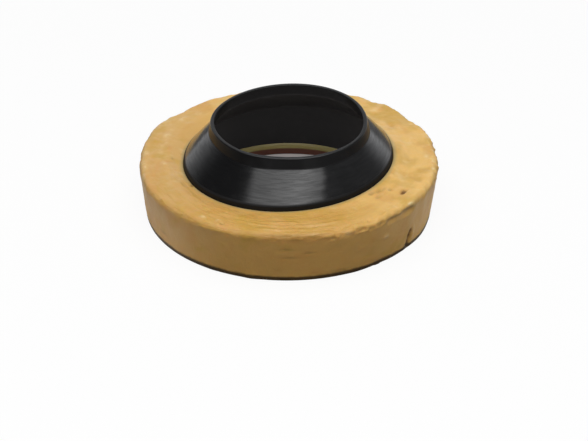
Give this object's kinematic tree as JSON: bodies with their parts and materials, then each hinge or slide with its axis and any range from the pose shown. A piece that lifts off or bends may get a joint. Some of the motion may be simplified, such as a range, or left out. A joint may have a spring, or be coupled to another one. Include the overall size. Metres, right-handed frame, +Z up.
{
  "type": "toilet wax ring",
  "caption": "Tan petroleum wax ring with a black plastic horn that points into the drain; seals a floor-mounted toilet to its flange.",
  "frame": {"origin": "on the wax ring's axis, in the plane of the moulded face that it lies on", "axes": "+Z up the axis, from the moulded face to the horn's rim; the picture looks along +Y with +X to the right"},
  "size_m": [0.1326, 0.1331, 0.0449],
  "materials": {
    "wax": "soft petroleum wax, slightly see-through, uneven tan with orange and yellow patches",
    "horn": "smooth moulded polyethylene, glossy black"
  },
  "bodies": {
    "root": {"wax_ring": "wax", "horn": "horn"}
  },
  "joints": []
}
